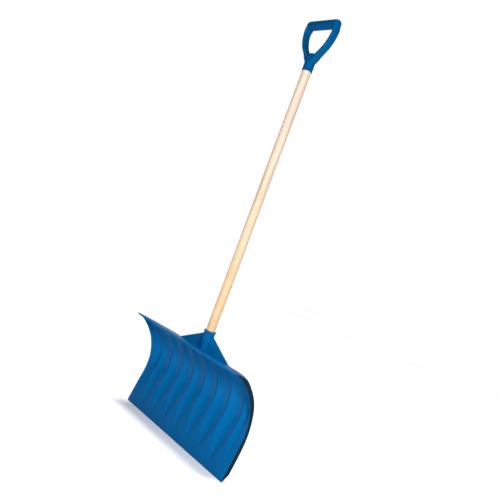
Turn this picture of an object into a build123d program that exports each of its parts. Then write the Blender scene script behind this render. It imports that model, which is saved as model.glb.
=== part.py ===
"""Snow shovel: a wide one-piece moulded blade, a round ash handle and a D-shaped grip.

Frame: +Z runs up along the handle, the hollow of the blade faces -Y and X is the blade's width.
The origin is where the shovel hangs from a hook: the middle of the underside of the grip's bar.
All sizes are millimetres.
"""
from build123d import *
from math import atan2, cos, degrees, radians, sin
import os

os.makedirs("parts", exist_ok=True)

# ---- overall layout -------------------------------------------------------------------------
mouth_z = -995.0  # rim of the blade's socket
blade_width = 610.0  # 24 inch blade
half_width = blade_width / 2

# ---- blade: fluted sheet -------------------------------------------------------------------
sheet_thickness = 3.2
edge_y = -9.6  # front corner of the cutting edge
edge_z = mouth_z - 348.4
lip_lean = 10.5  # the flat lip leans forward of vertical by this angle
lip_height = 161.0  # measured along the lip, up to where the sheet starts to curve
scoop_radius = 120.0  # hollow side of the curved upper part
scoop_top_angle = 65.0  # where the curve meets the underside of the shelf
edge_bevel_height = 5.0
edge_bevel_depth = 1.4

# ---- blade: flutes pressed into the hollow side ---------------------------------------------
flute_count = 9  # the two outer ones are cut short by the ends of the blade
flute_pitch = 71.8
flute_depth = 9.0
flute_point = 28.0  # height up the sheet where the flutes come to a point
flute_full = 120.0  # height where they have grown to touch each other
flute_deepest = 240.0
flute_fade = 281.0  # from here they fade out under the shelf
flute_top = 318.0
flute_tip_width = 3.0
flute_tip_depth = 0.3
flute_stations = (
    *(flute_point, 50.0, 75.0, 98.0, flute_full),
    *(lip_height, 190.0, 215.0, flute_deepest, flute_fade, flute_top),
)
cutter_lead = 4.0  # how far a cutter starts in front of the sheet

# ---- blade: shelf, end rims, webs and socket ------------------------------------------------
shelf_thickness = 3.2
shelf_front_y = -87.0
shelf_front_z = mouth_z - 49.5
shelf_rear_z = mouth_z - 63.5
shelf_tip_y = -50.0  # rear edge at the outer corners
shelf_corner_x = 287.0
shelf_corner_y = -27.0
shelf_shoulder_x = 255.0
shelf_shoulder_y = -13.0
web_reach = 144.5  # half length of the webs along the shelf
web_top_z = mouth_z - 10.0
web_thickness = 3.6
nose_height = 6.0  # the shelf's front edge is turned down
rim_thickness = 3.2
rim_radius = 170.0  # front edge of the end rims, above their straight part
rim_straight = 114.0
rim_top_angle = 66.0
rim_width = 14.0
rim_foot_cut = 26.0  # the rim's lower corner is cut off over this height
rim_lower_angle = 15.0  # between these angles round the curve the rim's back edge follows the sheet's back
rim_upper_angle = 58.0
rim_shoulder_angle = 58.0  # the rim's rounded top corner
rim_shoulder_width = 13.0
rim_nose_angle = 63.5
rim_nose_width = 9.3
handle_diameter = 29.0
socket_diameter = 36.0
socket_depth = 67.0
socket_length = 70.0  # its closed end is just behind the sheet
socket_rim_width = 2.0
socket_rim_height = 5.0
fit_gap = 0.1

# ---- handle and grip ------------------------------------------------------------------------
handle_bottom_z = mouth_z - 66.0
ferrule_bottom_z = mouth_z + 856.0
handle_top_z = ferrule_bottom_z + 40.0
handle_end_chamfer = 2.0
ferrule_radius = 16.3
ferrule_neck_radius = 16.8
ferrule_height = 44.0
ferrule_dome_height = 12.0
bar_radius = 15.0
bar_z = bar_radius  # the bar's underside is the origin
grip_half_width = 74.0
grip_corner_radius = 25.0
grip_depth = 26.0
grip_edge_radius = 4.0
crotch_z = mouth_z + 914.0
# one side of the grip's outer outline, from the ferrule up to the straight side
grip_outer_side = ((16.0, -112.0), (24.0, -96.0), (40.0, -79.0), (54.0, -62.0), (67.0, -37.0))
# one side of the finger opening, from above the crotch up to the bar
grip_inner_side = ((14.0, -79.5), (31.0, -70.5), (46.0, -54.5), (57.5, -33.0))
opening_half_width = 63.0

# ---- screws that hold the handle ------------------------------------------------------------
screw_radius = 2.1
screw_length = 16.0
screw_head_radius = 4.2
screw_head_height = 2.6
screw_slot_width = 1.1
screw_slot_depth = 1.2
blade_screw_z = mouth_z - 30.0
grip_screw_z = ferrule_bottom_z + 16.0


def lip_point(height, depth):
    """Point (y, z) at a height up the lip's line and a depth behind it."""
    return (
        edge_y + height * sin(radians(lip_lean)) + depth * cos(radians(lip_lean)),
        edge_z + height * cos(radians(lip_lean)) - depth * sin(radians(lip_lean)),
    )


def arc_point(straight, radius, depth, angle):
    """Point (y, z) on the curve that follows a straight part, at a depth behind its hollow side."""
    centre_y, centre_z = lip_point(straight, -radius)
    return (
        centre_y + (radius + depth) * cos(radians(angle)),
        centre_z + (radius + depth) * sin(radians(angle)),
    )


def face_plane(x, height):
    """Plane across the sheet at a height up its hollow side: local x is X, local y points forward."""
    if height > lip_height:
        angle = degrees((height - lip_height) / scoop_radius) - lip_lean
        y, z = arc_point(lip_height, scoop_radius, 0, angle)
    else:
        angle = -lip_lean
        y, z = lip_point(height, 0)
    down = (0, sin(radians(angle)), -cos(radians(angle)))
    return Plane(origin=(x, y, z), x_dir=(1, 0, 0), z_dir=down)


def flute_size(height):
    """Width and depth of a flute at a height up the sheet."""
    width_share = min(1.0, 1 - max(0.0, (flute_full - height) / (flute_full - flute_point)) ** 1.5)
    width = flute_tip_width + width_share * (flute_pitch - flute_tip_width)
    depth_share = min(1.0, (height - flute_point) / (flute_deepest - flute_point))
    if height > flute_fade:
        depth_share = (flute_top - height) / (flute_top - flute_fade)
    return width, flute_tip_depth + depth_share * (flute_depth - flute_tip_depth)


def sheet_outline():
    """Closed outline of the sheet, seen from its end."""
    sweep = scoop_top_angle + lip_lean
    centre = lip_point(lip_height, -scoop_radius)
    with BuildLine() as outline:
        CenterArc(centre, scoop_radius, -lip_lean, sweep)
        Line(
            arc_point(lip_height, scoop_radius, 0, scoop_top_angle),
            arc_point(lip_height, scoop_radius, sheet_thickness, scoop_top_angle),
        )
        CenterArc(centre, scoop_radius + sheet_thickness, -lip_lean, sweep)
        Polyline(
            lip_point(lip_height, sheet_thickness),
            lip_point(0, sheet_thickness),
            lip_point(0, edge_bevel_depth),
            lip_point(edge_bevel_height, 0),
            lip_point(lip_height, 0),
        )
    return outline.line


def rim_outline():
    """Closed outline of the rim at each end of the blade: it runs in front of the sheet and behind it."""
    sheet_back = scoop_radius + sheet_thickness
    with BuildLine() as outline:
        CenterArc(lip_point(rim_straight, -rim_radius), rim_radius, -lip_lean, rim_top_angle + lip_lean)
        Polyline(
            arc_point(rim_straight, rim_radius, 0, rim_top_angle),
            arc_point(rim_straight, rim_radius, rim_nose_width, rim_nose_angle),
            arc_point(rim_straight, rim_radius, rim_shoulder_width, rim_shoulder_angle),
            arc_point(lip_height, scoop_radius, sheet_thickness, rim_upper_angle),
        )
        sheet_sweep = rim_upper_angle - rim_lower_angle
        CenterArc(lip_point(lip_height, -scoop_radius), sheet_back, rim_lower_angle, sheet_sweep)
        Polyline(
            arc_point(lip_height, scoop_radius, sheet_thickness, rim_lower_angle),
            lip_point(rim_straight, rim_width),
            lip_point(rim_foot_cut, rim_width),
            lip_point(0, sheet_thickness),
            lip_point(0, edge_bevel_depth),
            lip_point(edge_bevel_height, 0),
            lip_point(rim_straight, 0),
        )
    return outline.line


# ---- blade: one moulding --------------------------------------------------------------------
shelf_drop = degrees(atan2(shelf_front_z - shelf_rear_z, -shelf_front_y))
shelf_plane = Plane(
    origin=(0, shelf_front_y, shelf_front_z),
    x_dir=(1, 0, 0),
    z_dir=(0, sin(radians(shelf_drop)), cos(radians(shelf_drop))),
)
shelf_depth = -shelf_front_y / cos(radians(shelf_drop))
flute_places = [flute_pitch * (n - (flute_count - 1) / 2) for n in range(flute_count)]

with BuildPart() as blade:
    with BuildSketch(Plane.YZ):
        add(sheet_outline())
        make_face()
    extrude(amount=half_width, both=True)

    # the back of each flute stands proud of the sheet
    for flute_x in flute_places:
        for station in flute_stations:
            width, depth = flute_size(station)
            half = (width + sheet_thickness) / 2
            back = -sheet_thickness
            with BuildSketch(face_plane(flute_x, station)):
                with BuildLine():
                    ThreePointArc((-half, back), (0, back - depth), (half, back))
                    Polyline((half, back), (half, back / 2), (-half, back / 2), (-half, back))
                make_face()
        loft(ruled=True)
    split(bisect_by=Plane.YZ.offset(half_width), keep=Keep.BOTTOM)
    split(bisect_by=Plane.YZ.offset(-half_width), keep=Keep.TOP)

    # hollows of the flutes
    for flute_x in flute_places:
        for station in flute_stations:
            width, depth = flute_size(station)
            half = width / 2
            with BuildSketch(face_plane(flute_x, station)):
                with BuildLine():
                    ThreePointArc((-half, 0), (0, -depth), (half, 0))
                    Polyline((half, 0), (half, cutter_lead), (-half, cutter_lead), (-half, 0))
                make_face()
        loft(ruled=True, mode=Mode.SUBTRACT)

    # flat shelf from the top edge back to the handle, with its front edge turned down
    with BuildSketch(shelf_plane):
        with BuildLine():
            Polyline((-half_width, 0), (half_width, 0), (half_width, shelf_tip_y - shelf_front_y))
            Spline(
                (half_width, shelf_tip_y - shelf_front_y),
                (shelf_corner_x, shelf_corner_y - shelf_front_y),
                (shelf_shoulder_x, shelf_shoulder_y - shelf_front_y),
                (web_reach, shelf_depth),
            )
            Line((web_reach, shelf_depth), (-web_reach, shelf_depth))
            Spline(
                (-web_reach, shelf_depth),
                (-shelf_shoulder_x, shelf_shoulder_y - shelf_front_y),
                (-shelf_corner_x, shelf_corner_y - shelf_front_y),
                (-half_width, shelf_tip_y - shelf_front_y),
            )
            Line((-half_width, shelf_tip_y - shelf_front_y), (-half_width, 0))
        make_face()
    extrude(amount=-shelf_thickness)
    with BuildSketch(shelf_plane):
        with Locations((0, shelf_thickness / 2)):
            Rectangle(blade_width, shelf_thickness)
    extrude(amount=-nose_height)

    # end rims
    for end_x in (-half_width, half_width - rim_thickness):
        with BuildSketch(Plane.YZ.offset(end_x)):
            add(rim_outline())
            make_face()
        extrude(amount=rim_thickness)

    # webs either side of the socket
    with BuildSketch(Plane.XZ):
        with BuildLine():
            Polyline(
                (-web_reach, shelf_rear_z),
                (0, web_top_z + (web_top_z - shelf_rear_z) * socket_diameter / 2 / web_reach),
                (web_reach, shelf_rear_z),
                (web_reach, shelf_rear_z - shelf_thickness),
                (-web_reach, shelf_rear_z - shelf_thickness),
                (-web_reach, shelf_rear_z),
            )
        make_face()
    extrude(amount=web_thickness / 2, both=True)

    # socket, with a raised rim round its mouth
    with BuildSketch(Plane.XY.offset(mouth_z - socket_length)):
        Circle(socket_diameter / 2)
    extrude(amount=socket_length)
    with BuildSketch(Plane.XY.offset(mouth_z - socket_rim_height)):
        Circle(socket_diameter / 2 + socket_rim_width)
    extrude(amount=socket_rim_height)
    with BuildSketch(Plane.XY.offset(mouth_z - socket_depth)):
        Circle(handle_diameter / 2 + fit_gap)
    extrude(amount=socket_depth, mode=Mode.SUBTRACT)
    with BuildSketch(Plane.XZ.offset(-socket_diameter)):
        with Locations((0, blade_screw_z)):
            Circle(screw_radius + fit_gap)
    extrude(amount=socket_diameter, mode=Mode.SUBTRACT)
blade.part.label = "blade"

# ---- handle: round ash pole with a pilot hole for each screw --------------------------------
with BuildPart() as handle:
    with BuildSketch(Plane.XY.offset(handle_bottom_z)):
        Circle(handle_diameter / 2)
    extrude(amount=handle_top_z - handle_bottom_z)
    chamfer(handle.edges().filter_by(GeomType.CIRCLE), handle_end_chamfer)
    with BuildSketch(Plane.XZ.offset(-handle_diameter)):
        with Locations((0, blade_screw_z), (0, grip_screw_z)):
            Circle(screw_radius)
    extrude(amount=handle_diameter, mode=Mode.SUBTRACT)
handle.part.label = "handle"


def grip_outline():
    """Outer outline of the grip: legs that spread from the ferrule, and round top corners."""
    top_z = bar_z + bar_radius
    side_z = top_z - grip_corner_radius
    top_x = grip_half_width - grip_corner_radius
    left_side = [(-x, z) for x, z in reversed(grip_outer_side)]
    with BuildLine() as outline:
        Spline(*grip_outer_side, (grip_half_width, side_z), tangents=((0, 1), (0, 1)))
        RadiusArc((grip_half_width, side_z), (top_x, top_z), -grip_corner_radius)
        Line((top_x, top_z), (-top_x, top_z))
        RadiusArc((-top_x, top_z), (-grip_half_width, side_z), -grip_corner_radius)
        Spline((-grip_half_width, side_z), *left_side, tangents=((0, -1), (0, -1)))
        Line(left_side[-1], grip_outer_side[0])
    return outline.line


def opening_outline():
    """Outline of the finger opening, closed at the height of the bar's middle."""
    left_side = [(-x, z) for x, z in reversed(grip_inner_side)]
    with BuildLine() as outline:
        Spline(*left_side, (0, crotch_z), *grip_inner_side)
        Polyline(
            grip_inner_side[-1],
            (opening_half_width, 0),
            (opening_half_width, bar_z),
            (-opening_half_width, bar_z),
            (-opening_half_width, 0),
            left_side[0],
        )
    return outline.line


# ---- grip: D-shaped moulding ----------------------------------------------------------------
with BuildPart() as grip:
    with BuildSketch(Plane.XZ):
        add(grip_outline())
        make_face()
    extrude(amount=grip_depth / 2, both=True)
    with BuildSketch(Plane.XZ):
        add(opening_outline())
        make_face()
    extrude(amount=grip_depth, both=True, mode=Mode.SUBTRACT)
    with BuildSketch(Plane.YZ):
        with Locations((0, bar_z)):
            Circle(bar_radius)
    extrude(amount=grip_half_width, both=True)
    with BuildSketch(Plane.XZ):
        add(grip_outline())
        make_face()
    extrude(amount=grip_depth, both=True, mode=Mode.INTERSECT)

    # ferrule that takes the handle, closed by a low dome
    with BuildSketch(Plane.XZ):
        neck_z = ferrule_bottom_z + ferrule_height
        with BuildLine():
            Polyline(
                (0, neck_z + ferrule_dome_height),
                (0, ferrule_bottom_z),
                (ferrule_radius, ferrule_bottom_z),
                (ferrule_neck_radius, neck_z),
            )
            ThreePointArc(
                (ferrule_neck_radius, neck_z),
                (ferrule_neck_radius * 0.75, neck_z + ferrule_dome_height * 0.66),
                (0, neck_z + ferrule_dome_height),
            )
        make_face()
    revolve(axis=Axis.Z)
    with BuildSketch(Plane.XY.offset(ferrule_bottom_z)):
        Circle(handle_diameter / 2 + fit_gap)
    extrude(amount=handle_top_z - ferrule_bottom_z, mode=Mode.SUBTRACT)
    with BuildSketch(Plane.XZ.offset(-socket_diameter)):
        with Locations((0, grip_screw_z)):
            Circle(screw_radius + fit_gap)
    extrude(amount=socket_diameter, mode=Mode.SUBTRACT)
grip.part.label = "grip"

# ---- screws: one through the back of the socket, one through the back of the ferrule ---------
with BuildPart() as handle_screws:
    for screw_z, seat_y in ((blade_screw_z, socket_diameter / 2), (grip_screw_z, ferrule_neck_radius)):
        with BuildSketch(Plane.XZ.offset(-seat_y)):
            with Locations((0, screw_z)):
                Circle(screw_radius)
        extrude(amount=screw_length)
        with BuildSketch(Plane.XZ.offset(-seat_y)):
            with Locations((0, screw_z)):
                Circle(screw_head_radius)
        extrude(amount=-screw_head_height, taper=12)
        with BuildSketch(Plane.XZ.offset(-seat_y - screw_head_height)):
            with Locations((0, screw_z)):
                Rectangle(2 * screw_head_radius, screw_slot_width)
        extrude(amount=screw_slot_depth, mode=Mode.SUBTRACT)
handle_screws.part.label = "handle_screws"

for piece in (blade, handle, grip, handle_screws):
    export_step(piece.part, f"parts/{piece.part.label}.step")
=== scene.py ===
"""Looks of the snow shovel: a fluted blue plastic blade, an ash pole and a moulded D-grip.

Frame: metres, +Z up along the pole, the hollow of the blade faces -Y, the origin is under the grip's bar.
"""
from math import cos, pi, radians, sin

import bpy
from mathutils import Matrix, Vector


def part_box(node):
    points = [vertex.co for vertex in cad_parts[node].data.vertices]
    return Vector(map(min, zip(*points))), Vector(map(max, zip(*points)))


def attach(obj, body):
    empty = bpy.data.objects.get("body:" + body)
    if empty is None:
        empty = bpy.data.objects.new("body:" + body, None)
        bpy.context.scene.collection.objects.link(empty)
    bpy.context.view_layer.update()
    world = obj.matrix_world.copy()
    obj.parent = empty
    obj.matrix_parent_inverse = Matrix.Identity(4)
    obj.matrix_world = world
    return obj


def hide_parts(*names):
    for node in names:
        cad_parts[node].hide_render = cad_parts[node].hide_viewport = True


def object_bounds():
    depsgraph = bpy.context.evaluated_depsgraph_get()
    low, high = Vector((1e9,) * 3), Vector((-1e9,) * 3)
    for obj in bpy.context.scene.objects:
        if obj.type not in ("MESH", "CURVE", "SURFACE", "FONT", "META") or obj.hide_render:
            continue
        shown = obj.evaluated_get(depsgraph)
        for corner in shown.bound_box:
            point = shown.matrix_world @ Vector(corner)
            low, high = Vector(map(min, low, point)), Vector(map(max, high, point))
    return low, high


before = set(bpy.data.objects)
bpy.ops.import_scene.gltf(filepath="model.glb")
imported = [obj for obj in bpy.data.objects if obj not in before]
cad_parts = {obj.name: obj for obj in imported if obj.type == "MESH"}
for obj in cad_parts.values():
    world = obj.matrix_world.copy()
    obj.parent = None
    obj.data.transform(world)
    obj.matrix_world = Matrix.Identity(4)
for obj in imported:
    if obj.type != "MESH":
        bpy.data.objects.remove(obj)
cad_low, cad_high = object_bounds()
blade_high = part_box("blade")[1]
handle_low, handle_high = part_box("handle")
grip_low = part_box("grip")[0]
MM = 0.001

# ---- blade sizes ----------------------------------------------------------------------------
HALF_WIDTH = blade_high.x
MOUTH_Z = blade_high.z  # rim of the socket
EDGE_Y = -9.6 * MM  # front corner of the cutting edge
EDGE_Z = MOUTH_Z - 348.4 * MM
BEVEL_HEIGHT = 5 * MM  # of the cutting edge
BEVEL_DEPTH = 1.4 * MM
SHEET = 3.2 * MM  # thickness of the sheet, the shelf and the rims' feet
LIP_LEAN = radians(10.5)
LIP_HEIGHT = 161 * MM
SCOOP_RADIUS = 120 * MM
SCOOP_TOP = radians(65)
SHEET_LENGTH = LIP_HEIGHT + SCOOP_RADIUS * (SCOOP_TOP + LIP_LEAN)
RIM_STRAIGHT = 114 * MM
RIM_RADIUS = 170 * MM
RIM_TOP = radians(66)
RIM_LENGTH = RIM_STRAIGHT + RIM_RADIUS * (RIM_TOP + LIP_LEAN)
RIM_INSET = 3.4 * MM  # the sheet stops this far inside the blade's ends
RIM_FOOT_CUT = 26 * MM
RIM_FOOT_WIDTH = 15 * MM
RIM_WAIST_WIDTH = 11.5 * MM
RIM_UPPER_WIDTH = 14.7 * MM
RIM_NARROWS = (80 * MM, 150 * MM)  # lengths over which the rim changes from one width to the next
RIM_WIDENS = (170 * MM, 240 * MM)
# (distance in from the blade's end, depth behind the rim's front edge) at its front corners, in mm
RIM_FRONT = ((2.7, 1.4), (2.2, 0.5), (1.5, 0.0), (0.5, 0.0), (0.0, 0.5))
# (distance in from the blade's end, distance in front of the rim's back edge) at its back corners, in mm
RIM_BACK = ((0.0, 0.6), (0.6, 0.0), (2.2, 0.0), (2.8, 0.6))
END_BLEND = (262 * MM, 300 * MM)  # between these the sheet leaves the scoop's curve for the rim's
END_RECESS = (RIM_STRAIGHT * 0.8, RIM_STRAIGHT * 1.9)  # lengths over which it sinks behind the rim
FLUTE_PITCH = 71.8 * MM
FLUTE_DEPTH = 11.5 * MM
FLUTE_POINT = 26 * MM  # height up the sheet where the flutes come to a point
FLUTE_FULL = 122 * MM  # height where they touch each other
FLUTE_DEEPEST = 245 * MM
FLUTE_FADE = 285 * MM  # from here they fade out under the shelf
FLUTE_ROUNDNESS = 2.1  # 2 is a parabola across the flute, more is flatter at the bottom
FLUTE_TAPER = 1.5
FLUTE_GROWTH = 0.7
FLUTE_END_LOSS = 0.75  # share of the depth that is lost at the blade's ends
SHEET_STEPS = 344
SHEET_ROWS = 150


def smooth(a, b, value):
    """0 at a, 1 at b, with a soft change between."""
    share = min(1.0, max(0.0, (value - a) / (b - a)))
    return share * share * (3 - 2 * share)


def mix(a, b, share):
    """a at share 0, b at share 1."""
    return a * (1 - share) + b * share


def turns(steps):
    """Evenly spaced angles round a circle."""
    return [2 * pi * k / steps for k in range(steps)]


# ---- mesh helpers ---------------------------------------------------------------------------
LATHE_STEPS = 72
AXIS = 0.2 * MM  # an outline that is closed at the axis starts or ends at this radius


def new_piece(name, vertices, faces, material):
    """Makes one mesh object that rides on the shovel's only body."""
    mesh = bpy.data.meshes.new(name)
    mesh.from_pydata(vertices, [], faces)
    mesh.validate()
    mesh.update()
    for polygon in mesh.polygons:
        polygon.use_smooth = True
    piece = bpy.data.objects.new(name, mesh)
    bpy.context.scene.collection.objects.link(piece)
    piece.data.materials.append(material)
    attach(piece, "root")
    return piece


class Builder:
    """Collects rings of points into one list of vertices and faces."""

    def __init__(self):
        self.vertices = []
        self.faces = []

    def tube(self, rings):
        """Skins a row of closed rings that all have the same number of points, and caps both ends."""
        start = len(self.vertices)
        count = len(rings[0])
        for ring in rings:
            self.vertices.extend(ring)
        for row in range(len(rings) - 1):
            here = start + row * count
            above = here + count
            for k in range(count):
                after = (k + 1) % count
                self.faces.append((here + k, here + after, above + after, above + k))
        self.faces.append(tuple(start + k for k in reversed(range(count))))
        top = start + (len(rings) - 1) * count
        self.faces.append(tuple(top + k for k in range(count)))

    def lathe(self, outline):
        """Turns an outline of (radius, z) points about the Z axis."""
        rings = []
        for radius, z in outline:
            rings.append([(radius * cos(turn), radius * sin(turn), z) for turn in turns(LATHE_STEPS)])
        self.tube(rings)


# ---- node material helpers ------------------------------------------------------------------
class Nodes:
    """Short names for building a node material."""

    def __init__(self, name):
        self.material = bpy.data.materials.new(name)
        self.material.use_nodes = True
        self.tree = self.material.node_tree
        self.shader = self.tree.nodes["Principled BSDF"]
        self.place = self.tree.nodes.new("ShaderNodeTexCoord").outputs["Object"]

    def link(self, a, b):
        self.tree.links.new(a, b)

    def axes(self):
        """X, Y and Z of the place on the object."""
        node = self.tree.nodes.new("ShaderNodeSeparateXYZ")
        self.link(self.place, node.inputs[0])
        return node.outputs

    def stretched(self, scale):
        node = self.tree.nodes.new("ShaderNodeMapping")
        node.inputs["Scale"].default_value = scale
        self.link(self.place, node.inputs["Vector"])
        return node.outputs["Vector"]

    def noise(self, scale, detail=4.0, rough=0.5, vector=None, distortion=0.0):
        node = self.tree.nodes.new("ShaderNodeTexNoise")
        node.inputs["Scale"].default_value = scale
        node.inputs["Detail"].default_value = detail
        node.inputs["Roughness"].default_value = rough
        node.inputs["Distortion"].default_value = distortion
        self.link(vector or self.place, node.inputs["Vector"])
        return node.outputs["Fac"]

    def ramp(self, value, *stops):
        """Colour ramp from (position, colour) stops; a colour is three numbers or one grey."""
        node = self.tree.nodes.new("ShaderNodeValToRGB")
        elements = node.color_ramp.elements
        while len(elements) < len(stops):
            elements.new(0.5)
        for element, (position, colour) in zip(elements, stops):
            element.position = position
            element.color = (*colour, 1) if isinstance(colour, tuple) else (colour, colour, colour, 1)
        self.link(value, node.inputs["Fac"])
        return node.outputs["Color"]

    def blend(self, share, a, b, kind="MIX"):
        """Mixes two colours; share, a and b are each a socket or a constant."""
        node = self.tree.nodes.new("ShaderNodeMix")
        node.data_type = "RGBA"
        node.blend_type = kind
        for socket, value in ((node.inputs[0], share), (node.inputs[6], a), (node.inputs[7], b)):
            if isinstance(value, bpy.types.NodeSocket):
                self.link(value, socket)
            elif isinstance(value, tuple):
                socket.default_value = (*value, 1)
            else:
                socket.default_value = value
        return node.outputs[2]

    def maths(self, kind, a, b=0.0):
        """One step of arithmetic; a and b are each a socket or a constant."""
        node = self.tree.nodes.new("ShaderNodeMath")
        node.operation = kind
        for socket, value in zip(node.inputs, (a, b)):
            if isinstance(value, bpy.types.NodeSocket):
                self.link(value, socket)
            else:
                socket.default_value = value
        return node.outputs[0]

    def bump(self, height, strength, distance, normal=None):
        node = self.tree.nodes.new("ShaderNodeBump")
        node.inputs["Strength"].default_value = strength
        node.inputs["Distance"].default_value = distance
        self.link(height, node.inputs["Height"])
        if normal:
            self.link(normal, node.inputs["Normal"])
        return node.outputs["Normal"]


# ---- materials ------------------------------------------------------------------------------
BLADE_BLUE = (0.0, 0.075, 0.214)
# painted shade: the grip is the blade's plastic, darkened to 0.6 of its colour to stand in for the grip's
# shade
GRIP_SHADED_BLUE = (0.0, 0.045, 0.128)
FLOW_DARK = 0.92  # shares of the base colour in the plastic's flow marks
FLOW_LIGHT = 1.07
# painted shade: near-black blue for the blade's end faces, which stand in shade
END_PAINTED_SHADE = (0.003, 0.012, 0.026)
# painted reflection: pale grey-blue for the top of the socket's rim, as if it mirrored the bright room
MOUTH_PAINTED_REFLECTION = (0.06, 0.11, 0.16)
END_SHADE_DEPTH = 0.3 * MM  # depth of the painted shade on the blade's end faces
MOUTH_REFLECTION_BAND = 2.6 * MM  # height of the band of painted reflection at the socket's mouth
WOOD_DARK = (0.35, 0.232, 0.157)
WOOD_MIDDLE = (0.50, 0.360, 0.256)
WOOD_LIGHT = (0.56, 0.432, 0.328)
WOOD_STREAK = (0.42, 0.264, 0.168)
WOOD_PORE = (0.27, 0.176, 0.120)
WOOD_TINT_LOW = (1.0, 0.86, 0.66)
WOOD_TINT_HIGH = (0.90, 0.92, 1.0)
ZINC_DARK = (0.42, 0.42, 0.40)
ZINC_LIGHT = (0.68, 0.68, 0.66)
FLOOR_DARK = (0.90, 0.90, 0.91)
FLOOR_LIGHT = (0.94, 0.94, 0.94)


def plastic_material(name, base, edge=None):
    """Glossy moulded blue plastic with faint flow marks and fine orange peel.

    With edge, painted shade darkens it further out than that along X, and a painted reflection makes it
    paler at the socket's mouth.
    """
    n = Nodes(name)
    dark = tuple(c * FLOW_DARK for c in base)
    light = tuple(c * FLOW_LIGHT for c in base)
    flow = n.noise(9, 3, 0.55, n.stretched((1, 1, 0.35)))
    mottle = n.noise(90, 3, 0.6)
    colour = n.ramp(flow, (0.3, dark), (0.7, light))
    colour = n.blend(n.ramp(mottle, (0.35, 0.0), (0.65, 0.35)), colour, base)
    if edge:
        x, _, z = n.axes()
        # painted shade on the blade's end faces, beyond edge along X
        painted_end_shade = n.maths("GREATER_THAN", n.maths("ABSOLUTE", x), edge)
        colour = n.blend(painted_end_shade, colour, END_PAINTED_SHADE)
        # painted reflection: the top of the socket's mouth is made pale
        mouth = n.maths("GREATER_THAN", z, MOUTH_Z - MOUTH_REFLECTION_BAND)
        colour = n.blend(mouth, colour, MOUTH_PAINTED_REFLECTION)
    n.link(colour, n.shader.inputs["Base Color"])
    n.link(n.ramp(n.noise(24, 5, 0.6), (0.3, 0.20), (0.7, 0.30)), n.shader.inputs["Roughness"])
    peel = n.bump(n.noise(420, 2, 0.5), 0.08, 0.0003)
    n.link(n.bump(n.noise(22, 2, 0.5), 0.06, 0.001, peel), n.shader.inputs["Normal"])
    n.shader.inputs["IOR"].default_value = 1.3
    n.shader.inputs["Specular IOR Level"].default_value = 0.05
    return n.material


def wood_material():
    """Pale lacquered ash with long grain and open pores, cream above and warmer towards the foot."""
    n = Nodes("ash_wood")
    grain = n.noise(30, 6, 0.62, n.stretched((5.5, 5.5, 0.16)), 0.6)
    streak = n.noise(16, 3, 0.55, n.stretched((7, 7, 0.22)), 0.3)
    pores = n.noise(260, 3, 0.6, n.stretched((6, 6, 0.12)))
    colour = n.ramp(grain, (0.30, WOOD_DARK), (0.48, WOOD_MIDDLE), (0.70, WOOD_LIGHT))
    colour = n.blend(n.ramp(streak, (0.42, 0.0), (0.72, 0.55)), colour, WOOD_STREAK)
    colour = n.blend(n.ramp(pores, (0.60, 0.0), (0.74, 0.40)), colour, WOOD_PORE)
    above_foot = n.maths("ADD", n.axes()[2], -handle_low.z)
    share = n.maths("MULTIPLY", above_foot, 1 / (handle_high.z - handle_low.z))
    tint = n.ramp(share, (0.1, WOOD_TINT_LOW), (0.75, WOOD_TINT_HIGH))
    colour = n.blend(1.0, colour, tint, "MULTIPLY")
    n.link(colour, n.shader.inputs["Base Color"])
    n.link(n.ramp(grain, (0.3, 0.55), (0.7, 0.42)), n.shader.inputs["Roughness"])
    n.shader.inputs["Specular IOR Level"].default_value = 0.25
    fine = n.bump(pores, 0.25, 0.0003)
    n.link(n.bump(grain, 0.15, 0.0006, fine), n.shader.inputs["Normal"])
    return n.material


def zinc_material():
    """Bright zinc plate on the screws, dulled in patches."""
    n = Nodes("zinc_plate")
    patch = n.noise(300, 4, 0.6)
    n.link(n.ramp(patch, (0.3, ZINC_DARK), (0.7, ZINC_LIGHT)), n.shader.inputs["Base Color"])
    n.link(n.ramp(patch, (0.3, 0.5), (0.7, 0.28)), n.shader.inputs["Roughness"])
    n.link(n.bump(n.noise(1500, 3), 0.2, 0.0002), n.shader.inputs["Normal"])
    n.shader.inputs["Metallic"].default_value = 1.0
    return n.material


def floor_material():
    """Matt, pale and almost even."""
    n = Nodes("pale_floor")
    n.link(n.ramp(n.noise(2, 2), (0.3, FLOOR_DARK), (0.7, FLOOR_LIGHT)), n.shader.inputs["Base Color"])
    n.shader.inputs["Roughness"].default_value = 0.9
    n.shader.inputs["Specular IOR Level"].default_value = 0.1
    return n.material


# ---- blade: plane of the shelf, which also cuts off the tops of the sheet and the rims ------
SHELF_FRONT_Y = -87 * MM
SHELF_FRONT_Z = MOUTH_Z - 49.5 * MM
SHELF_REAR_Z = MOUTH_Z - 63.5 * MM
SHELF_SLOPE = (SHELF_FRONT_Z - SHELF_REAR_Z) / SHELF_FRONT_Y
SHELF_CLEARANCE = 0.4 * MM  # the sheet and the rims stop this far under the shelf's top face


def shelf_top(y):
    """Height of the shelf's top face."""
    return SHELF_FRONT_Z + (y - SHELF_FRONT_Y) * SHELF_SLOPE


# ---- blade: fluted sheet with its end rims --------------------------------------------------
def lip_point(height, depth):
    """(y, z) at a height up the lip's line and a depth behind it."""
    y = EDGE_Y + height * sin(LIP_LEAN) + depth * cos(LIP_LEAN)
    return Vector((y, EDGE_Z + height * cos(LIP_LEAN) - depth * sin(LIP_LEAN)))


def curve_point(straight, radius, length, depth):
    """(y, z) at a length up a profile that is straight and then curves forward, and a depth behind it."""
    if length <= straight:
        return lip_point(length, depth)
    angle = (length - straight) / radius - LIP_LEAN
    reach = radius + depth
    return lip_point(straight, -radius) + Vector((reach * cos(angle), reach * sin(angle)))


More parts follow.
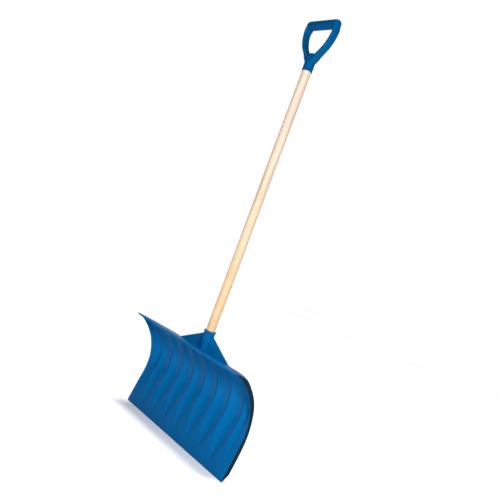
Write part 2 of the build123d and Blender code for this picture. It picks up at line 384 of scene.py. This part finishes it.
def rim_share(height):
    """Length up the rim's front edge that belongs to a height up the sheet."""
    if height <= RIM_STRAIGHT:
        return height
    above = height - RIM_STRAIGHT
    return RIM_STRAIGHT + above * (RIM_LENGTH - RIM_STRAIGHT) / (SHEET_LENGTH - RIM_STRAIGHT)


def rim_width(length):
    """Depth of the rim from its front edge to its back edge."""
    foot = mix(SHEET, RIM_FOOT_WIDTH, min(1.0, length / RIM_FOOT_CUT))
    width = mix(foot, RIM_WAIST_WIDTH, smooth(*RIM_NARROWS, length))
    return mix(width, RIM_UPPER_WIDTH, smooth(*RIM_WIDENS, length))


def flute_depth(x, height):
    """Depth of the flutes at a point of the sheet."""
    if height <= FLUTE_POINT:
        return 0.0
    offset = abs((x / FLUTE_PITCH + 0.5) % 1.0 - 0.5) * FLUTE_PITCH
    taper = max(0.0, (FLUTE_FULL - height) / (FLUTE_FULL - FLUTE_POINT))
    half = FLUTE_PITCH / 2 * (1 - taper**FLUTE_TAPER)
    across = max(0.0, 1 - (offset / half) ** FLUTE_ROUNDNESS)
    grown = min(1.0, (height - FLUTE_POINT) / (FLUTE_DEEPEST - FLUTE_POINT)) ** FLUTE_GROWTH
    fade = 1 - smooth(FLUTE_FADE, SHEET_LENGTH, height)
    return FLUTE_DEPTH * grown * across * fade


def sheet_front(x, height):
    """(y, z) of the hollow side of the sheet; it comes forward a little towards the ends."""
    near_end = smooth(*END_BLEND, abs(x))
    deep = flute_depth(x, height) * (1 - FLUTE_END_LOSS * near_end)
    middle = curve_point(LIP_HEIGHT, SCOOP_RADIUS, height, deep)
    length = rim_share(height)
    recess = max(0.0, rim_width(length) - SHEET) * smooth(*END_RECESS, length)
    end = curve_point(RIM_STRAIGHT, RIM_RADIUS, length, recess)
    return mix(middle, end, near_end * smooth(RIM_STRAIGHT, LIP_HEIGHT, height))


def sheet_ring(height):
    """Closed ring round the sheet and both rims at one height."""
    bevel = BEVEL_DEPTH * max(0.0, 1 - height / BEVEL_HEIGHT)
    inner = HALF_WIDTH - RIM_INSET
    front = []
    for k in range(SHEET_STEPS + 1):
        x = -inner + 2 * inner * k / SHEET_STEPS
        y, z = sheet_front(x, height)
        front.append((x, y + bevel, z))
    length = rim_share(height)
    width = max(rim_width(length), SHEET)
    rim = []
    for inward, depth in RIM_FRONT:
        y, z = curve_point(RIM_STRAIGHT, RIM_RADIUS, length, depth * MM)
        rim.append((HALF_WIDTH - inward * MM, y + bevel, z))
    for inward, depth in RIM_BACK:
        y, z = curve_point(RIM_STRAIGHT, RIM_RADIUS, length, width - depth * MM)
        rim.append((HALF_WIDTH - inward * MM, y, z))
    back = []
    for k in range(SHEET_STEPS + 1):
        x = inner - 2 * inner * k / SHEET_STEPS
        y, z = sheet_front(x, height)
        ahead_y, ahead_z = sheet_front(x, height + MM)
        run = Vector((ahead_y - y, ahead_z - z)).normalized()
        back.append((x, y + SHEET * run.y, z - SHEET * run.x))
    mirrored = [(-x, y, z) for x, y, z in reversed(rim)]
    ring = front + rim + back + mirrored
    return [(x, y, min(z, shelf_top(y) - SHELF_CLEARANCE)) for x, y, z in ring]


def add_sheet(builder):
    rows = [0, 1 * MM, 3 * MM, BEVEL_HEIGHT]
    rows += [SHEET_LENGTH * k / SHEET_ROWS for k in range(3, SHEET_ROWS + 1)]
    builder.tube([sheet_ring(height) for height in rows])


# ---- blade: shelf ---------------------------------------------------------------------------
# (x, y) of the shelf's rear edge from behind a web out to a corner of the blade, in mm
SHELF_CORNER = ((200, 0.5), (220, -4), (243, -12.5), (260, -21.5), (273, -30), (290, -41.5), (305, -52.5))
SHELF_STEPS = 244
SHELF_TIP = 10 * MM  # the shelf gets thin over this distance from each end
SHELF_TIP_THICKNESS = 1.6 * MM
SHELF_REAR_ROUND = 0.7 * MM
NOSE_HEIGHT = 6 * MM  # the shelf's front edge is turned down
NOSE_TIP_HEIGHT = 2.8 * MM
NOSE_TIP_REACH = 1.5 * MM
NOSE_ROUND = 2.6 * MM
NOSE_TIP_ROUND = 0.6 * MM


def shelf_rear(x):
    """Rear edge of the shelf: straight behind the webs, then round to the outer corners."""
    x = abs(x) / MM
    for (x0, y0), (x1, y1) in zip(SHELF_CORNER, SHELF_CORNER[1:]):
        if x < x1:
            return mix(y0, y1, max(0.0, (x - x0) / (x1 - x0))) * MM
    return SHELF_CORNER[-1][1] * MM


def shelf_section(x):
    """Closed ring round the shelf and its turned-down front edge at one place across the blade."""
    rear = shelf_rear(x)
    tip = smooth(HALF_WIDTH - SHELF_TIP, HALF_WIDTH, abs(x))
    thick = mix(SHEET, SHELF_TIP_THICKNESS, tip)
    front = SHELF_FRONT_Y - NOSE_TIP_REACH * tip
    round_off = mix(NOSE_ROUND, NOSE_TIP_ROUND, tip)
    inner = front + thick
    lower = shelf_top(front) - mix(NOSE_HEIGHT, NOSE_TIP_HEIGHT, tip)
    ring = [
        (x, rear - SHELF_REAR_ROUND, shelf_top(rear)),
        (x, rear, shelf_top(rear) - SHELF_REAR_ROUND),
        (x, rear, shelf_top(rear) - thick),
    ]
    for k in range(1, 8):
        y = mix(rear, front + thick + 1.5 * MM, k / 8)
        ring.append((x, y, shelf_top(y) - thick))
    ring += [
        (x, inner + 0.3 * MM, shelf_top(inner) - thick - 0.2 * MM),
        (x, inner, mix(shelf_top(inner) - thick, lower, 0.5)),
        (x, inner - 0.5 * MM, lower + 0.2 * MM),
        (x, inner - 1.2 * MM, lower),
        (x, front + 0.9 * MM, lower + 0.2 * MM),
        (x, front + 0.2 * MM, lower + 0.6 * MM),
    ]
    for k in range(6):
        turn = pi / 2 * k / 5
        ring.append((x, front + round_off * (1 - cos(turn)), shelf_top(front) - round_off * (1 - sin(turn))))
    for k in range(1, 9):
        y = mix(front + round_off, rear - SHELF_REAR_ROUND, k / 9)
        ring.append((x, y, shelf_top(y)))
    return ring


def add_shelf(builder):
    places = [-HALF_WIDTH + 2 * HALF_WIDTH * k / SHELF_STEPS for k in range(SHELF_STEPS + 1)]
    builder.tube([shelf_section(x) for x in places])


# ---- blade: webs and socket -----------------------------------------------------------------
WEB_REACH = 144.5 * MM  # from the middle to a web's outer corner
WEB_TOP_Z = MOUTH_Z - 10 * MM
WEB_THICKNESS = 3.6 * MM
WEB_FLARE = 2.2 * MM  # the foot is thicker by this on the hollow side
WEB_ROUND = 0.8 * MM
WEB_STEPS = 40
SOCKET_RADIUS = 18 * MM
WEB_START = SOCKET_RADIUS * 0.6  # inside the socket's wall
HANDLE_RADIUS = handle_high.x


def add_webs(builder):
    """Triangular webs with rounded edges, either side of the socket."""
    slope = (WEB_TOP_Z - SHELF_REAR_Z) / (WEB_REACH - SOCKET_RADIUS)
    half = WEB_THICKNESS / 2
    foot = SHELF_REAR_Z - 3 * MM
    flare = half + WEB_FLARE
    for side in (-1, 1):
        rings = []
        for k in range(WEB_STEPS + 1):
            x = side * mix(WEB_START, WEB_REACH, k / WEB_STEPS)
            z = WEB_TOP_Z - (abs(x) - SOCKET_RADIUS) * slope
            low = min(z - 0.9 * MM, SHELF_REAR_Z + 3.5 * MM)
            ring = [
                (x, -half + WEB_ROUND, z),
                (x, -half, z - WEB_ROUND),
                (x, -half, low),
                (x, -half - 0.6 * MM, mix(low, foot, 0.4)),
                (x, -flare, foot),
                (x, half + 0.2 * MM, foot),
                (x, half, low),
                (x, half, z - WEB_ROUND),
                (x, half - WEB_ROUND, z),
            ]
            rings.append(ring)
        builder.tube(rings if side > 0 else rings[::-1])


def add_socket(builder):
    """Round socket with a raised rim at its mouth; it is open at the top, where the pole goes in."""
    bore = HANDLE_RADIUS + 0.15 * MM
    outline = [
        (AXIS, MOUTH_Z - 70 * MM),
        (SOCKET_RADIUS - 2 * MM, MOUTH_Z - 70 * MM),
        (SOCKET_RADIUS, MOUTH_Z - 68 * MM),
        (SOCKET_RADIUS, MOUTH_Z - 20 * MM),
        (SOCKET_RADIUS, MOUTH_Z - 6.4 * MM),
        (SOCKET_RADIUS + 0.6 * MM, MOUTH_Z - 5.4 * MM),
        (SOCKET_RADIUS + 1.6 * MM, MOUTH_Z - 4.4 * MM),
        (SOCKET_RADIUS + 1.9 * MM, MOUTH_Z - 3.2 * MM),
        (SOCKET_RADIUS + 1.9 * MM, MOUTH_Z - 1.4 * MM),
        (SOCKET_RADIUS + 1.4 * MM, MOUTH_Z - 0.4 * MM),
        (SOCKET_RADIUS + 0.6 * MM, MOUTH_Z),
        (bore + 0.9 * MM, MOUTH_Z),
        (bore, MOUTH_Z - 0.9 * MM),
        (bore, MOUTH_Z - 67 * MM),
        (AXIS, MOUTH_Z - 67 * MM),
    ]
    builder.lathe(outline)


def make_blade(material):
    """Sheet, shelf, webs and socket: closed shells that overlap in one mesh."""
    builder = Builder()
    add_sheet(builder)
    add_shelf(builder)
    add_webs(builder)
    add_socket(builder)
    blade = new_piece("blade_moulding", builder.vertices, builder.faces, material)
    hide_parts("blade")


# ---- grip -----------------------------------------------------------------------------------
BAR_RADIUS = 15 * MM
BAR_Z = BAR_RADIUS
# (distance from the middle, radius) at the rounded ends of the bar, in mm
BAR_ENDS = ((55, 15), (62, 14.8), (67.5, 13.6), (70, 11), (71, 7))
LEG_HALF_THICKNESS = 5.0 * MM  # in the grip's plane
LEG_HALF_DEPTH = 13 * MM
CORNER_HALF_THICKNESS = 8.0 * MM
NECK_HALF_THICKNESS = 7.5 * MM
BAR_RISE = (-0.020, 0.012)  # z over which a leg's section turns into the bar's
BAR_SWELL = (0.068, 0.050)  # distances from the middle over which the bar gets its full thickness
CORNER_RISE = (-0.012, 0.006)  # z over which a leg thickens below its corner
CORNER_INNER = 0.05  # the corners are further out than this
NECK_RISE = (-0.100, -0.072)  # z over which the neck thins into a leg
LEG_SQUARENESS = 3.6
BAR_SQUARENESS = 2.0  # a circle
FERRULE_BOTTOM = grip_low.z
NECK_Z = FERRULE_BOTTOM + 44 * MM
RING_STEPS = 40
SPLINE_STEPS = 6
VOXEL = 1.0 * MM
# centre line of one side of the grip, (x, z) from the neck up to the middle of the bar
GRIP_LINE = (
    (0.010, -0.106),
    (0.019, -0.096),
    (0.026, -0.0865),
    (0.036, -0.0755),
    (0.050, -0.0590),
    (0.0615, -0.0370),
    (0.0674, -0.0150),
    (0.0668, -0.0020),
    (0.0630, 0.0085),
    (0.0545, 0.0140),
    (0.0400, BAR_Z),
    (0.0200, BAR_Z),
    (0.0000, BAR_Z),
)


def spline_points(points, steps):
    """Catmull-Rom curve through the points."""
    points = [Vector(p) for p in points]
    padded = [points[0] * 2 - points[1]] + points + [points[-1] * 2 - points[-2]]
    out = []
    for a, b, c, d in zip(padded, padded[1:], padded[2:], padded[3:]):
        for k in range(steps):
            t = k / steps
            square = (2 * a - 5 * b + 4 * c - d) * t**2
            cube = (3 * b - a - 3 * c + d) * t**3
            out.append(0.5 * (2 * b + (c - a) * t + square + cube))
    return out + [points[-1]]


def grip_section(centre, run, flat, deep, square):
    """Rounded section across the grip's line: flat in the grip's plane and deep along Y."""
    across = Vector((-run.y, run.x))
    ring = []
    for turn in turns(RING_STEPS):
        c, s = cos(turn), sin(turn)
        u = flat * (1 if c > 0 else -1) * abs(c) ** (2 / square)
        v = deep * (1 if s > 0 else -1) * abs(s) ** (2 / square)
        point = centre + across * u
        ring.append((point.x, v, point.y))
    return ring


def add_legs(builder):
    """Both legs and the bar between them, as one tube along the grip's line."""
    half_line = spline_points(GRIP_LINE, SPLINE_STEPS)
    line = half_line[:-1] + [Vector((-p.x, p.y)) for p in reversed(half_line)]
    rings = []
    for k, point in enumerate(line):
        run = (line[min(len(line) - 1, k + 1)] - line[max(0, k - 1)]).normalized()
        bar = smooth(*BAR_RISE, point.y)
        swell = bar * smooth(*BAR_SWELL, abs(point.x)) if point.y > 0 else 0
        corner = smooth(*CORNER_RISE, point.y) if abs(point.x) > CORNER_INNER else 0
        neck = 1 - smooth(*NECK_RISE, point.y)
        flat = mix(LEG_HALF_THICKNESS, BAR_RADIUS, swell)
        flat = mix(flat, CORNER_HALF_THICKNESS, corner)
        flat = mix(flat, NECK_HALF_THICKNESS, neck)
        deep = mix(LEG_HALF_DEPTH, BAR_RADIUS, bar)
        square = mix(LEG_SQUARENESS, BAR_SQUARENESS, bar)
        rings.append(grip_section(point, run, flat, deep, square))
    builder.tube(rings)


def add_ferrule(builder):
    """Ferrule with a low dome and a raised rim; it is open below, where the pole goes in."""
    bore = HANDLE_RADIUS + 0.2 * MM
    outline = [
        (AXIS, NECK_Z + 16 * MM),
        (8 * MM, NECK_Z + 15 * MM),
        (12 * MM, NECK_Z + 11 * MM),
        (15 * MM, NECK_Z + 4 * MM),
        (16.9 * MM, NECK_Z - 3 * MM),
        (16.9 * MM, NECK_Z - 12 * MM),
        (16.2 * MM, FERRULE_BOTTOM + 6 * MM),
        (17.2 * MM, FERRULE_BOTTOM + 4 * MM),
        (17.2 * MM, FERRULE_BOTTOM + 0.8 * MM),
        (16.6 * MM, FERRULE_BOTTOM),
        (bore, FERRULE_BOTTOM),
        (bore, FERRULE_BOTTOM + 41 * MM),
        (AXIS, FERRULE_BOTTOM + 41 * MM),
    ]
    builder.lathe(outline[::-1])


def add_bar(builder):
    """The bar at its full thickness, which squares off the grip's top corners."""
    rings = []
    for x, radius in [(-x, radius) for x, radius in reversed(BAR_ENDS)] + list(BAR_ENDS):
        ring = []
        for turn in turns(RING_STEPS):
            ring.append((x * MM, radius * MM * cos(turn), BAR_Z + radius * MM * sin(turn)))
        rings.append(ring)
    builder.tube(rings)


def make_grip(material):
    """D-shaped grip: strap legs, a round bar and a ferrule, fused by a voxel remesh."""
    builder = Builder()
    add_legs(builder)
    add_ferrule(builder)
    add_bar(builder)
    grip = new_piece("grip_moulding", builder.vertices, builder.faces, material)
    remesh = grip.modifiers.new("fuse", "REMESH")
    remesh.mode = "VOXEL"
    remesh.voxel_size = VOXEL
    remesh.use_smooth_shade = True
    soften = grip.modifiers.new("soften", "SMOOTH")
    soften.factor = 0.5
    soften.iterations = 8
    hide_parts("grip")


# ---- stage: floor, light and camera ---------------------------------------------------------
FLOOR_HALF = 9.0
FLOOR_GAP = 0.5 * MM
LAMP_TARGET = (0, 0, -1.1)
KEY_PLACE = (2.66, -1.50, -0.15)
KEY_SIZE = (0.5, 0.5)
KEY_POWER = 160
STRIP_PLACE = (-1.3, -2.8, -0.6)
STRIP_SIZE = (0.05, 0.5)
STRIP_POWER = 4
CEILING_STRENGTH = 3.4
CEILING_SPREAD = radians(20)
WALL_DIRECTION = (-0.93, 0.35, 0.12)
WALL_EDGE = (0.93, 0.985)  # cosines to that direction where the wall begins and where it is full
WALL_STRENGTH = 0.6
ROOM_STRENGTH = 0.02
CAMERA_LENS = 50.42
CAMERA_PLACE = (1.7614, -1.2651, MOUTH_Z + 0.2591)
CAMERA_RIGHT = (0.559, 0.753, 0.348)
CAMERA_BACK = (0.805, -0.594, -0.008)


def make_floor():
    half = FLOOR_HALF
    z = cad_low.z - FLOOR_GAP
    corners = [(-half, -half, z), (half, -half, z), (half, half, z), (-half, half, z)]
    mesh = bpy.data.meshes.new("floor")
    mesh.from_pydata(corners, [], [(0, 1, 2, 3)])
    floor = bpy.data.objects.new("floor", mesh)
    bpy.context.scene.collection.objects.link(floor)
    mesh.materials.append(floor_material())


def area_light(name, place, size, power):
    data = bpy.data.lights.new(name, "AREA")
    data.shape = "RECTANGLE"
    data.size, data.size_y = size
    data.energy = power
    light = bpy.data.objects.new(name, data)
    bpy.context.scene.collection.objects.link(light)
    light.location = place
    light.rotation_euler = (Vector(LAMP_TARGET) - Vector(place)).to_track_quat("-Z", "Y").to_euler()


def make_world():
    """White to the camera; it lights the shovel from a bright wall behind it and a dim room elsewhere."""
    world = bpy.data.worlds.new("studio")
    bpy.context.scene.world = world
    world.use_nodes = True
    tree = world.node_tree
    background = tree.nodes["Background"]
    background.inputs["Color"].default_value = (1, 1, 1, 1)
    place = tree.nodes.new("ShaderNodeTexCoord")
    towards = tree.nodes.new("ShaderNodeVectorMath")
    towards.operation = "DOT_PRODUCT"
    towards.inputs[1].default_value = WALL_DIRECTION
    tree.links.new(place.outputs["Generated"], towards.inputs[0])
    strength = tree.nodes.new("ShaderNodeMapRange")
    strength.interpolation_type = "SMOOTHSTEP"
    strength.inputs["From Min"].default_value = WALL_EDGE[0]
    strength.inputs["From Max"].default_value = WALL_EDGE[1]
    strength.inputs["To Min"].default_value = ROOM_STRENGTH
    strength.inputs["To Max"].default_value = WALL_STRENGTH
    tree.links.new(towards.outputs["Value"], strength.inputs["Value"])
    ray = tree.nodes.new("ShaderNodeLightPath")
    seen = tree.nodes.new("ShaderNodeMath")
    seen.operation = "MAXIMUM"
    tree.links.new(strength.outputs["Result"], seen.inputs[0])
    tree.links.new(ray.outputs["Is Camera Ray"], seen.inputs[1])
    tree.links.new(seen.outputs[0], background.inputs["Strength"])


def make_lamps():
    """Key lamp on the right, a faint strip on the left and an even light straight down."""
    area_light("key", KEY_PLACE, KEY_SIZE, KEY_POWER)
    area_light("strip", STRIP_PLACE, STRIP_SIZE, STRIP_POWER)
    ceiling = bpy.data.lights.new("ceiling", "SUN")
    ceiling.energy = CEILING_STRENGTH
    ceiling.angle = CEILING_SPREAD
    bpy.context.scene.collection.objects.link(bpy.data.objects.new("ceiling", ceiling))


def make_camera():
    """Seen from the right of the blade's hollow side, with the shovel leaning to the right in view."""
    data = bpy.data.cameras.new("camera")
    data.sensor_width = 36
    data.lens = CAMERA_LENS
    data.clip_end = 50
    camera = bpy.data.objects.new("camera", data)
    bpy.context.scene.collection.objects.link(camera)
    right = Vector(CAMERA_RIGHT).normalized()
    back = Vector(CAMERA_BACK)
    back = (back - right * back.dot(right)).normalized()
    up = back.cross(right)
    turn = Matrix((right, up, back)).transposed().to_4x4()
    camera.matrix_world = Matrix.Translation(CAMERA_PLACE) @ turn
    bpy.context.scene.camera = camera


# the blade's plastic gets painted shade on its end faces and a painted reflection at the socket's mouth
make_blade(plastic_material("blade_plastic", BLADE_BLUE, HALF_WIDTH - END_SHADE_DEPTH))
# painted shade: the grip uses a darker copy of the blade's plastic
make_grip(plastic_material("grip_plastic", GRIP_SHADED_BLUE))
for node, material in (("handle", wood_material()), ("handle_screws", zinc_material())):
    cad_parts[node].data.materials.clear()
    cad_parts[node].data.materials.append(material)
make_floor()
make_world()
make_lamps()
make_camera()
bpy.context.scene.view_settings.view_transform = "Standard"
